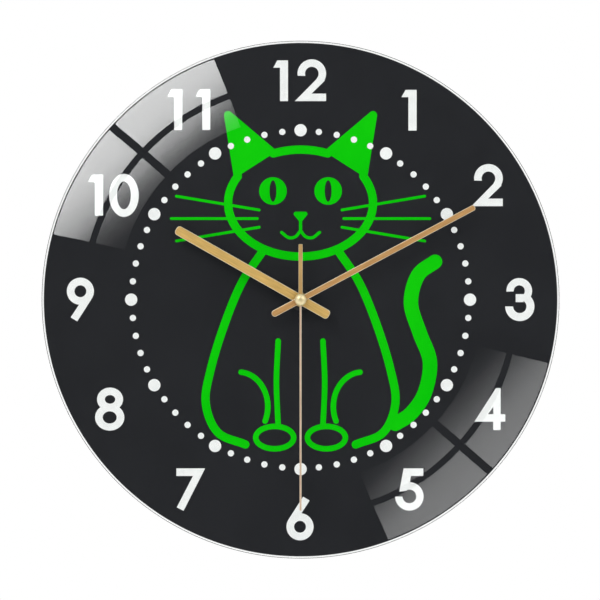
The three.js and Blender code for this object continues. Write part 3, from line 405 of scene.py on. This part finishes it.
NUMERAL_HOLES = [
    [(111.69, -62.27), (111.69, -66.31), (108.89, -66.31)],
    [(2.99, -131.7), (2.93, -132.27), (2.79, -132.83), (2.54, -133.36), (2.21, -133.83), (1.8, -134.24), (1.33, -134.57), (0.8, -134.81), (0.25, -134.96), (-0.33, -135.01), (-0.91, -134.96), (-1.46, -134.81), (-1.99, -134.57), (-2.46, -134.24), (-2.87, -133.83), (-3.2, -133.36), (-3.45, -132.83), (-3.6, -132.27), (-3.65, -131.7), (-3.6, -131.12), (-3.45, -130.56), (-3.2, -130.04), (-2.87, -129.57), (-2.46, -129.16), (-1.99, -128.83), (-1.46, -128.58), (-0.91, -128.43), (-0.33, -128.38), (0.25, -128.43), (0.8, -128.58), (1.33, -128.83), (1.8, -129.16), (2.21, -129.57), (2.54, -130.04), (2.79, -130.56), (2.93, -131.12)],
    [(-107.58, -57.81), (-107.65, -58.31), (-107.83, -58.78), (-108.14, -59.21), (-108.54, -59.58), (-109.03, -59.88), (-109.59, -60.08), (-110.18, -60.18), (-110.79, -60.18), (-111.38, -60.08), (-111.93, -59.88), (-112.43, -59.58), (-112.83, -59.21), (-113.13, -58.78), (-113.32, -58.31), (-113.39, -57.81), (-113.32, -57.32), (-113.13, -56.84), (-112.83, -56.41), (-112.43, -56.04), (-111.93, -55.75), (-111.38, -55.55), (-110.79, -55.44), (-110.18, -55.44), (-109.59, -55.55), (-109.03, -55.75), (-108.54, -56.04), (-108.14, -56.41), (-107.83, -56.84), (-107.65, -57.32)],
    [(-106.75, -68.28), (-106.82, -68.91), (-107.02, -69.51), (-107.34, -70.08), (-107.78, -70.58), (-108.32, -71.01), (-108.94, -71.34), (-109.61, -71.57), (-110.33, -71.68), (-111.05, -71.68), (-111.77, -71.57), (-112.45, -71.34), (-113.06, -71.01), (-113.6, -70.58), (-114.04, -70.08), (-114.36, -69.51), (-114.56, -68.91), (-114.63, -68.28), (-114.56, -67.65), (-114.36, -67.04), (-114.04, -66.48), (-113.6, -65.98), (-113.06, -65.55), (-112.45, -65.22), (-111.77, -64.99), (-111.05, -64.87), (-110.33, -64.87), (-109.61, -64.99), (-108.94, -65.22), (-108.32, -65.55), (-107.78, -65.98), (-107.34, -66.48), (-107.02, -67.04), (-106.82, -67.65)],
    [(-124.37, 4.88), (-124.42, 4.3), (-124.57, 3.75), (-124.81, 3.22), (-125.15, 2.75), (-125.55, 2.34), (-126.03, 2.01), (-126.55, 1.76), (-127.11, 1.61), (-127.69, 1.56), (-128.26, 1.61), (-128.82, 1.76), (-129.34, 2.01), (-129.82, 2.34), (-130.23, 2.75), (-130.56, 3.22), (-130.8, 3.75), (-130.95, 4.3), (-131.0, 4.88), (-130.95, 5.46), (-130.8, 6.01), (-130.56, 6.54), (-130.23, 7.01), (-129.82, 7.42), (-129.34, 7.75), (-128.82, 8.0), (-128.26, 8.15), (-127.69, 8.2), (-127.11, 8.15), (-126.55, 8.0), (-126.03, 7.75), (-125.55, 7.42), (-125.15, 7.01), (-124.81, 6.54), (-124.57, 6.01), (-124.42, 5.46)],
    [(-98.57, 60.48), (-98.61, 59.35), (-98.72, 58.24), (-98.92, 57.18), (-99.18, 56.19), (-99.52, 55.28), (-99.91, 54.48), (-100.35, 53.81), (-100.84, 53.26), (-101.36, 52.87), (-101.9, 52.63), (-102.45, 52.55), (-103.01, 52.63), (-103.55, 52.87), (-104.07, 53.26), (-104.55, 53.81), (-105.0, 54.48), (-105.39, 55.28), (-105.72, 56.19), (-105.99, 57.18), (-106.18, 58.24), (-106.3, 59.35), (-106.34, 60.48), (-106.3, 61.6), (-106.18, 62.71), (-105.99, 63.77), (-105.72, 64.76), (-105.39, 65.67), (-105.0, 66.47), (-104.55, 67.14), (-104.07, 67.69), (-103.55, 68.08), (-103.01, 68.32), (-102.45, 68.4), (-101.9, 68.32), (-101.36, 68.08), (-100.84, 67.69), (-100.35, 67.14), (-99.91, 66.47), (-99.52, 65.67), (-99.18, 64.76), (-98.92, 63.77), (-98.72, 62.71), (-98.61, 61.6)],
]


def turned(m, angle, stretch):
    """Lays a material's grain along a hand that points at this clock angle."""
    for n in m.node_tree.nodes:
        if n.type == "MAPPING":
            n.vector_type = "TEXTURE"
            n.inputs["Rotation"].default_value = (0, math.radians(angle), 0)
            n.inputs["Scale"].default_value = stretch


for key, angle in (("hour", 299.5), ("minute", 62.0), ("second", 180.0), ("second2", 180.0)):
    turned(M[key], angle, (0.45, 1.0, 9.0))


def glass_material():
    m = bpy.data.materials.new("clear_glass")
    m.use_nodes = True
    nt = m.node_tree
    b = nt.nodes["Principled BSDF"]
    b.inputs["Transmission Weight"].default_value = 1.0
    b.inputs["IOR"].default_value = 1.5
    b.inputs["Roughness"].default_value = 0.0
    tc = nt.nodes.new("ShaderNodeTexCoord")
    nz = nt.nodes.new("ShaderNodeTexNoise")
    nz.inputs["Scale"].default_value = 12
    cr = nt.nodes.new("ShaderNodeValToRGB")
    cr.color_ramp.elements[0].color = (0.975, 0.99, 0.985, 1)
    cr.color_ramp.elements[1].color = (0.99, 1.0, 0.995, 1)
    nt.links.new(tc.outputs["Object"], nz.inputs["Vector"])
    nt.links.new(nz.outputs["Fac"], cr.inputs["Fac"])
    nt.links.new(cr.outputs["Color"], b.inputs["Base Color"])
    return m


M["glass"] = glass_material()


def jacket_material():
    """A plain cell jacket: a blue body with a pale band at each end, and fine scuffs."""
    m = bpy.data.materials.new("cell_jacket")
    m.use_nodes = True
    nt = m.node_tree
    b = nt.nodes["Principled BSDF"]
    b.inputs["Coat Weight"].default_value = 0.5
    b.inputs["Coat Roughness"].default_value = 0.1
    tc = nt.nodes.new("ShaderNodeTexCoord")
    sp = nt.nodes.new("ShaderNodeSeparateXYZ")
    nt.links.new(tc.outputs["Object"], sp.inputs["Vector"])
    mr = nt.nodes.new("ShaderNodeMapRange")
    mr.inputs["From Min"].default_value, mr.inputs["From Max"].default_value = -0.025, 0.0235
    nt.links.new(sp.outputs["X"], mr.inputs["Value"])
    cr = nt.nodes.new("ShaderNodeValToRGB")
    cr.color_ramp.interpolation = "CONSTANT"
    e = cr.color_ramp.elements
    e[0].position, e[0].color = 0.0, srgb(204, 202, 194)
    e[1].position, e[1].color = 0.07, srgb(46, 104, 150)
    x = e.new(0.955)
    x.color = srgb(206, 200, 188)
    nt.links.new(mr.outputs["Result"], cr.inputs["Fac"])
    nz = nt.nodes.new("ShaderNodeTexNoise")
    nz.inputs["Scale"].default_value = 320
    nt.links.new(tc.outputs["Object"], nz.inputs["Vector"])
    mx = nt.nodes.new("ShaderNodeMix")
    mx.data_type = "RGBA"
    mx.blend_type = "MULTIPLY"
    mx.inputs["Factor"].default_value = 0.12
    nt.links.new(cr.outputs["Color"], mx.inputs["A"])
    nt.links.new(nz.outputs["Color"], mx.inputs["B"])
    nt.links.new(mx.outputs["Result"], b.inputs["Base Color"])
    r = nt.nodes.new("ShaderNodeMapRange")
    r.inputs["To Min"].default_value, r.inputs["To Max"].default_value = 0.3, 0.45
    nt.links.new(nz.outputs["Fac"], r.inputs["Value"])
    nt.links.new(r.outputs["Result"], b.inputs["Roughness"])
    return m


M["jacket"] = jacket_material()


# -------------------------------------------------------------------- dial
def quarter(cr, cw, r, a0, a1, n=5):
    return [
        (cr + r * math.cos(math.radians(a0 + (a1 - a0) * i / n)), cw + r * math.sin(math.radians(a0 + (a1 - a0) * i / n)))
        for i in range(n + 1)
    ]


glass = lathe(
    "glass_disc",
    [(4.4, 18.1), (4.6, 17.9)] + quarter(149.3, 18.6, 0.7, -90, 0) + quarter(149.3, 21.2, 0.7, 0, 90) + [(4.6, 21.9), (4.4, 21.7)],
    M["glass"],
    n=288,
    sharp=40,
)
put(glass, "movement", "dial_glass", "glass_dial")
glass.visible_shadow = False
glass.visible_diffuse = False

film = lathe("printed_film", [(4.4, 17.2), (148.9, 17.2), (148.9, 17.5), (4.4, 17.5)], M["film"], n=288)
put(film, "movement", "dial_print", "dial_print_film")

def ribbon(pts, width, k=8):
    """A stroke of even width along a curve, with round ends."""
    c = [Vector(x) for x in smooth_path(pts, k)]
    h, left, right = width / 2, [], []
    for i, q in enumerate(c):
        d = (c[min(i + 1, len(c) - 1)] - c[max(i - 1, 0)]).normalized()
        nrm = Vector((-d.y, d.x))
        left.append(tuple(q + nrm * h))
        right.append(tuple(q - nrm * h))
    d0, d1 = c[0] - c[1], c[-1] - c[-2]
    a0, a1 = math.degrees(math.atan2(d0.y, d0.x)), math.degrees(math.atan2(d1.y, d1.x))
    end = arc(c[-1].x, c[-1].y, h, h, a1 + 90, a1 - 90, 8)[1:-1]
    start = arc(c[0].x, c[0].y, h, h, a0 + 90, a0 - 90, 8)[1:-1]
    return left + end + right[::-1] + start


def both(pts):
    """A path and its mirror image across the dial's upright centre line."""
    return [pts, [(-u, v) for u, v in pts]]


# A plain sitting cat seen from the front, built from arcs and even strokes and the same on both sides
# but for its tail: round head, triangular ears, oval eyes, pear-shaped body.
LINE = 4.8
HEAD_U, HEAD_V, HEAD_RU, HEAD_RV = 0, 56, 42, 31
EAR_IN, EAR_OUT, EAR_TIP = 68, 30, (42, 107)
on_head = lambda a: arc(HEAD_U, HEAD_V, HEAD_RU, HEAD_RV, a, a, 1)[0]
cat = [ribbon(arc(HEAD_U, HEAD_V, HEAD_RU, HEAD_RV, EAR_IN, 180 - EAR_IN, 24), LINE, 2)]
for p in both(arc(HEAD_U, HEAD_V, HEAD_RU, HEAD_RV, EAR_OUT, -90, 32)):
    cat.append(ribbon(p, LINE, 2))
for side in (1, -1):
    inner, outer, tip = (side * on_head(EAR_IN)[0], on_head(EAR_IN)[1]), (side * on_head(EAR_OUT)[0], on_head(EAR_OUT)[1]), (side * EAR_TIP[0], EAR_TIP[1])
    cat += [ribbon([inner, tip], LINE), ribbon([tip, outer], LINE)]
    cat.append([inner, tip, outer])
for path, width in (
    ([(22, 28), (34, 10), (44, -14), (52, -40), (55, -60), (48, -77), (32, -84)], LINE),
    (arc(36, -62, 17, 20, 95, 205, 24), 3.2),
    ([(13, -24), (14, -48), (13, -73)], 3.2),
    ([(24, 52), (72, 60)], 1.6),
    ([(25, 47), (75, 47)], 1.6),
    ([(24, 42), (72, 34)], 1.6),
    ([(0, 40), (3, 36.5), (7, 36), (11, 39)], 1.8),
    (arc(15, -80, 11, 6.5, 0, 180, 24), 3.2),
    (arc(15, -80, 11, 6.5, 180, 360, 24), 3.2),
):
    cat += [ribbon(p, width, 8 if len(path) < 10 else 2) for p in both(path)]
cat += [ribbon([(0, 46), (0, 40)], 1.8), rounded([(-5.5, 51), (0, 44.5), (5.5, 51)], 1.3)]
cat.append(ribbon([(55, -72), (64, -66), (72, -54), (75, -36), (69, -19), (64, -2), (68, 14), (78, 22)], 8.4))
cat += [circle(-16, 63, 8, 48), circle(16, 63, 8, 48)]
pupils = [arc(side * 16, 63, 2.0, 6.2, 0, 360, 32)[:-1] for side in (1, -1)]
put(ink("ink_green_cat", cat, pupils, 17.64, M["green"]), "movement", "dial_print")
turning = lambda p: p if area2(p) > 0 else p[::-1]
put(
    ink("ink_numerals", [inset(turning(p), 0.12) for p in NUMERALS], [inset(turning(p), -0.12) for p in NUMERAL_HOLES], 17.72, M["white"]),
    "movement",
    "dial_print",
)
dots = []
for i in range(60):
    t = math.radians(6 * i)
    a = t + math.radians(0.42 * math.sin(4 * t) + 0.07 * math.sin(8 * t))
    big = i % 5 == 0
    r = 98.25 if big else 97.82
    dots.append(circle(r * math.sin(a), r * math.cos(a), 3.56 if big else 1.82, 44 if big else 28))
put(ink("ink_minute_dots", dots, [], 17.72, M["white"]), "movement", "dial_print")


# ------------------------------------------------------------------- hands
def baton(half_tail, half_tip, tail, tip, corner_tail, corner_tip, eye):
    """A hand's outline, pointing up: across, along."""
    f0, f1 = math.acos(min(1, half_tail / eye)), math.acos(min(1, half_tip / eye))
    d0, d1 = math.degrees(f0), math.degrees(f1)
    out = arc(half_tail - corner_tail, -tail + corner_tail, corner_tail, corner_tail, -90, 0, 8)
    out += arc(0, 0, eye, eye, -d0, d1, 14)
    out += arc(half_tip - corner_tip, tip - corner_tip, corner_tip, corner_tip, 0, 90, 8)
    out += arc(-half_tip + corner_tip, tip - corner_tip, corner_tip, corner_tip, 90, 180, 8)
    out += arc(0, 0, eye, eye, 180 - d1, 180 + d0, 14)
    out += arc(-half_tail + corner_tail, -tail + corner_tail, corner_tail, corner_tail, 180, 270, 8)
    tidy = []
    for q in out:
        if not tidy or math.dist(q, tidy[-1]) > 0.004:
            tidy.append(q)
    return tidy


def clock(pts, angle):
    a = math.radians(angle)
    return [(x * math.cos(a) + y * math.sin(a), -x * math.sin(a) + y * math.cos(a)) for x, y in pts]


def hand(name, shape, hole, angle, w0, w1, mats, bevel, body, node):
    ob = plate(name, clock(shape, angle), [circle(0, 0, hole, 40)] if hole else [], w0, w1, mats, top=bevel, bottom=0.08, steps=2, sharp=20)
    # Front faces keep the hand's gold; the bevels and sides take the paler gold, a painted edge highlight.
    for p in ob.data.polygons:
        p.material_index = 0 if p.normal.y < -0.97 else 1
    put(ob, body, "hand_gold", node)
    return ob


hand("hour_hand_blade", baton(2.75, 2.75, 18.9, 82.7, 2.0, 2.0, 3.6), 2.67, 299.5, 26.1, 26.8, [M["hour"], M["edge"]], 0.26, "hour_body", "hour_hand")
hand("minute_hand_blade", baton(1.9, 1.65, 18.7, 114.0, 1.9, 1.3, 3.2), 1.87, 62.0, 28.2, 28.9, [M["minute"], M["edge"]], 0.24, "minute_body", "minute_hand")
second = plate(
    "second_hand_needle",
    clock(baton(1.15, 0.575, 32.0, 121.8, 0.4, 0.3, 2.6), 180.0),
    [circle(0, 0, 0.58, 24)],
    30.1,
    30.5,
    [M["second"], M["edge"], M["second2"]],
    top=0.12,
    bottom=0.06,
    steps=2,
    sharp=20,
)
# Front faces keep the needle's gold, with the counterweight half apart; the bevels and sides take the paler gold, a
# painted edge highlight.
for p in second.data.polygons:
    p.material_index = (2 if p.center.z > 0.0005 else 0) if p.normal.y < -0.97 else 1
put(second, "second_body", "hand_gold", "second_hand")

dome = lathe(
    "second_hand_dome",
    [(0, 31.75), (0.75, 31.75), (0.75, 30.6), (3.42, 30.6), (3.5, 30.68)]
    + [(3.5 * math.cos(math.radians(t)), 31.1 + 2.1 * math.sin(math.radians(t))) for t in range(0, 86, 7)]
    + [(0, 33.2)],
    M["dome"],
    n=72,
    sharp=50,
)
put(dome, "second_body", "hand_gold", "second_hand_cap")

# ------------------------------------------------- nut and washer
def hexagon(af, n=6):
    r = af / 2 / math.cos(math.pi / 6)
    return [(r * math.cos(math.pi / 3 * i), r * math.sin(math.pi / 3 * i)) for i in range(6)]


nut = plate("dial_nut_hex", rounded(hexagon(11.0), 0.4, 4), [circle(0, 0, 4.2, 48)], 22.7, 24.9, M["nut"], top=0.35, bottom=0.3, steps=3)
put(nut, "movement", "black_metal", "dial_nut")
washer = lathe("dial_washer_ring", [(4.3, 22.05), (4.35, 22.0), (6.3, 22.0), (6.4, 22.1), (6.4, 22.5), (6.3, 22.6), (4.35, 22.6), (4.3, 22.55)], M["nut"], n=72)
put(washer, "movement", "black_metal", "dial_washer")

# ------------------------------------------------------------- battery
cell = lathe(
    "aa_cell",
    [(0, 23.5), (5.0, 23.5), (5.4, 23.2), (6.1, 23.2), (6.5, 23.45), (6.85, 23.35), (7.05, 23.1), (7.1, 22.7), (7.1, -24.1), (7.05, -24.5), (6.8, -24.8), (6.4, -24.9), (6.0, -24.75), (3.6, -24.75), (3.3, -25.0), (0, -25.0)],
    M["jacket"],
    n=72,
    to=lambda a, b, t: P(t, -19.6 + a, 7.7 + b),
    sharp=30,
)
put(cell, "battery_body", "battery_jacket", "battery_cell")

# ----------------------------------------------------- setting knob
KX, KY = -17.32, 10.0
ridge = lambda t, r, w: 1.0 - (0.055 * (0.5 - 0.5 * math.cos(24 * t)) if r > 5.3 else 0.0)
knob = lathe(
    "setting_knob_cap",
    [(1.05, 2.8), (5.2, 2.8), (5.62, 2.65), (5.86, 2.35), (5.86, 0.75), (5.6, 0.45), (5.15, 0.3), (4.55, 0.3), (4.3, 0.42), (4.1, 0.8), (2.2, 0.8), (2.0, 0.62), (1.6, 0.5), (1.05, 0.5)],
    M["ivory"],
    at=(KX, KY),
    n=192,
    wobble=ridge,
    sharp=28,
)
put(knob, "knob_body", "white_plastic", "setting_knob")

# ------------------------------------------------ looks of the CAD parts
BY_SLOT = {
    "gasket_rubber": "rubber",
    "black_metal": "nut",
    "post_brass": "brass",
    "case_plastic": "case",
    "white_plastic": "ivory",
    "wheel_steel": "steel",
    "magnet_metal": "magnet",
    "coil_copper": "copper",
    "board_resin": "board",
    "contact_steel": "nickel",
    "battery_jacket": "jacket",
    "hand_gold": "dome",
    "dial_glass": "glass",
    "dial_print": "film",
}
slot_of = {}
for name, ob in NODES.items():
    old = ob.data.materials[0].name if ob.data.materials else ""
    found = [s for s in BY_SLOT if old.startswith(s)]
    slot_of[name] = found[0] if found else None
    m = M[BY_SLOT[found[0]]] if found else M["case2"]
    if name in ("ic_blob",):
        m = M["blob"]
    if name in ("battery_positive_cap",):
        m = M["nickel"]
    if name in ("threaded_post",):
        m = M["brass"]
    if ob.data.materials:
        for i in range(len(ob.data.materials)):
            ob.data.materials[i] = m
    else:
        ob.data.materials.append(m)


def edges(node, width, segments=2):
    """Rounds a CAD node's sharp edges without changing its mesh."""
    ob = NODES[node]
    w = ob.modifiers.new("weld", "WELD")
    w.merge_threshold = 2e-6
    b = ob.modifiers.new("edge", "BEVEL")
    b.width = width * MM
    b.segments = segments
    b.limit_method = "ANGLE"
    b.angle_limit = math.radians(40)
    b.harden_normals = False
    b.use_clamp_overlap = True


for node in ("front_case", "rear_cover"):
    edges(node, 0.3)


# ------------------------------------------------------ camera and lights
scene = bpy.context.scene
cam_data = bpy.data.cameras.new("camera")
cam_data.lens = 256.7
cam_data.sensor_width = 36
cam_data.clip_end = 60
cam = bpy.data.objects.new("camera", cam_data)
cam.location = (-0.00033, -2.5, -0.0002)
cam.rotation_euler = (math.pi / 2, 0, 0)
scene.collection.objects.link(cam)
scene.camera = cam


def aimed(ob, target):
    ob.rotation_euler = (Vector(target) - ob.location).to_track_quat("-Z", "Y").to_euler()


def softbox(name, at, size, power, colour=(1, 1, 1), target=(0, 0, 0)):
    d = bpy.data.lights.new(name, "AREA")
    d.shape = "RECTANGLE"
    d.size, d.size_y = size
    d.energy = power
    d.color = colour
    ob = bpy.data.objects.new(name, d)
    ob.location = at
    aimed(ob, target)
    scene.collection.objects.link(ob)
    return ob


softbox("key", (-0.95, -1.9, 1.15), (1.0, 1.0), 13, (1.0, 0.985, 0.96))
softbox("fill", (1.15, -1.9, 0.75), (1.0, 1.2), 7, (0.97, 0.985, 1.0))
softbox("low", (0.2, -1.7, -1.25), (1.2, 0.7), 4)
softbox("back", (-0.7, 1.9, 1.1), (1.2, 1.2), 15, target=(0, 0, 0))
softbox("back2", (1.0, 1.7, -0.3), (1.0, 1.0), 7, target=(0, 0, 0))

world = bpy.data.worlds.new("studio")
scene.world = world
world.use_nodes = True
wn = world.node_tree
bg = wn.nodes["Background"]
lp = wn.nodes.new("ShaderNodeLightPath")
tc = wn.nodes.new("ShaderNodeTexCoord")
sep = wn.nodes.new("ShaderNodeSeparateXYZ")
wn.links.new(tc.outputs["Generated"], sep.inputs["Vector"])
cone = wn.nodes.new("ShaderNodeMapRange")
cone.interpolation_type = "SMOOTHSTEP"
cone.inputs["From Min"].default_value, cone.inputs["From Max"].default_value = -0.97, -0.80
cone.inputs["To Min"].default_value, cone.inputs["To Max"].default_value = 0.0, 0.62
wn.links.new(sep.outputs["Y"], cone.inputs["Value"])
isg = wn.nodes.new("ShaderNodeMath")
isg.operation = "GREATER_THAN"
isg.inputs[1].default_value = 0.5
wn.links.new(lp.outputs["Ray Depth"], isg.inputs[0])
dif = wn.nodes.new("ShaderNodeMix")
dif.data_type = "FLOAT"
wn.links.new(lp.outputs["Is Diffuse Ray"], dif.inputs["Factor"])
wn.links.new(cone.outputs["Result"], dif.inputs["A"])
dif.inputs["B"].default_value = 0.78
# rays that carry on towards +Y through clear glass see the plain backdrop
fwd = wn.nodes.new("ShaderNodeMath")
fwd.operation = "MULTIPLY"
gd = wn.nodes.new("ShaderNodeMath")
gd.operation = "LESS_THAN"
gd.inputs[1].default_value = 0.5
wn.links.new(lp.outputs["Glossy Depth"], gd.inputs[0])
nd = wn.nodes.new("ShaderNodeMath")
nd.operation = "LESS_THAN"
nd.inputs[1].default_value = 0.5
wn.links.new(lp.outputs["Diffuse Depth"], nd.inputs[0])
wn.links.new(gd.outputs[0], fwd.inputs[0])
wn.links.new(nd.outputs[0], fwd.inputs[1])
val = wn.nodes.new("ShaderNodeMix")
val.data_type = "FLOAT"
wn.links.new(fwd.outputs[0], val.inputs["Factor"])
wn.links.new(dif.outputs["Result"], val.inputs["A"])
val.inputs["B"].default_value = 1.0
wn.links.new(val.outputs["Result"], bg.inputs["Strength"])
bg.inputs["Color"].default_value = (1, 1, 1, 1)
scene.view_settings.view_transform = "Standard"
scene.view_settings.look = "None"


# ------------------------------------- windows that the glass reflects
def pane(name, a0, a1, r0, r1, glow, n=24, k=8):
    """A lit pane in the camera's plane. Its corners are where the reflection lies on the glass, in clock degrees and mm."""
    verts, faces, light = [], [], []
    for j in range(k + 1):
        r = r0 + (r1 - r0) * j / k
        for i in range(n + 1):
            a = math.radians(a0(r) + (a1(r) - a0(r)) * i / n)
            u, v = r * math.sin(a), r * math.cos(a)
            verts.append((2 * u * MM + 0.00033, -2.5, 2 * v * MM + 0.0002))
            light.append(glow(u, v, r, math.degrees(a)))
    for j in range(k):
        for i in range(n):
            q = j * (n + 1) + i
            faces.append((q, q + 1, q + n + 2, q + n + 1))
    ob = new_object(name, verts, faces, smooth=False)
    at = ob.data.attributes.new("glow", "FLOAT", "POINT")
    at.data.foreach_set("value", light)
    m = bpy.data.materials.new(name)
    m.use_nodes = True
    nt = m.node_tree
    nt.nodes.clear()
    o = nt.nodes.new("ShaderNodeOutputMaterial")
    e = nt.nodes.new("ShaderNodeEmission")
    g = nt.nodes.new("ShaderNodeAttribute")
    g.attribute_name = "glow"
    nt.links.new(g.outputs["Fac"], e.inputs["Strength"])
    nt.links.new(e.outputs[0], o.inputs["Surface"])
    ob.data.materials.append(m)
    ob.visible_camera = False
    ob.visible_diffuse = False
    ob.visible_shadow = False
    return ob


def ramp(x, stops):
    for (x0, y0), (x1, y1) in zip(stops, stops[1:]):
        if x <= x1:
            t = max(0.0, (x - x0) / (x1 - x0))
            return y0 + (y1 - y0) * t
    return stops[-1][1]


def along(u, v, angle):
    a = math.radians(angle)
    return u * math.sin(a) + v * math.cos(a)


def lit(level):
    """The strength whose reflection brings the dark print to this level of 255."""
    return max(0.0, (srgb(level, 0, 0)[0] - srgb(38, 0, 0)[0]) / 0.0765)


def glow_from(angle, stops):
    stops = [(x, lit(y)) for x, y in stops]
    return lambda u, v, r, a: ramp(along(u, v, angle), stops)


upper_outer = glow_from(319, [(103, 90), (107, 110), (111, 131), (114, 147), (118, 162), (123, 176), (127, 186), (131, 195), (135, 202), (140, 206), (148, 210)])
upper_inner = glow_from(319, [(88, 42), (95, 50), (99, 62), (102, 70), (105, 80), (107, 88), (110, 103), (114, 125), (118, 147), (123, 168)])
lower_outer = glow_from(134, [(109, 64), (113, 74), (117, 86), (120, 93), (124, 102), (127, 109), (130, 113), (135, 117), (140, 120), (148, 124)])
lower_inner = glow_from(134, [(93, 38), (97, 41), (101, 45), (104, 50), (107, 60), (110, 68), (114, 77), (118, 87), (123, 100)])

HALF = 2.4
for tag, a0, a1, mid, outer_glow, inner_glow in (
    ("upper", (285.9, 284.8), (340.9, 340.2), (313.3, 312.5), upper_outer, upper_inner),
    ("lower", (104.6, 104.4), (161.1, 159.9), (132.6, 132.15), lower_outer, lower_inner),
):
    for side in "ab":
        for ring, r0, r1, glow in (("in", 105.9, 123.1, inner_glow), ("out", 126.9, 148.1, outer_glow)):
            end = lambda pair, r: pair[0] + (pair[1] - pair[0]) * (r - 105.9) / (148.1 - 105.9)
            if side == "a":
                pane(f"window_{tag}_{side}_{ring}", lambda r: end(a0, r), lambda r: end(mid, r) - math.degrees(HALF / r), r0, r1, glow)
            else:
                pane(f"window_{tag}_{side}_{ring}", lambda r: end(mid, r) + math.degrees(HALF / r), lambda r: end(a1, r), r0, r1, glow)

# ------------------------------------------------------------------ floor
import bmesh

bm = bmesh.new()
bmesh.ops.create_circle(bm, cap_ends=True, segments=96, radius=2.2)
me = bpy.data.meshes.new("floor")
bm.to_mesh(me)
bm.free()
floor = bpy.data.objects.new("floor", me)
floor.location = (0, 0, -0.5)
scene.collection.objects.link(floor)
me.materials.append(material("floor_pale", srgb(240, 240, 240), srgb(236, 236, 236), scale=3, rough=0.8, rough2=0.9))
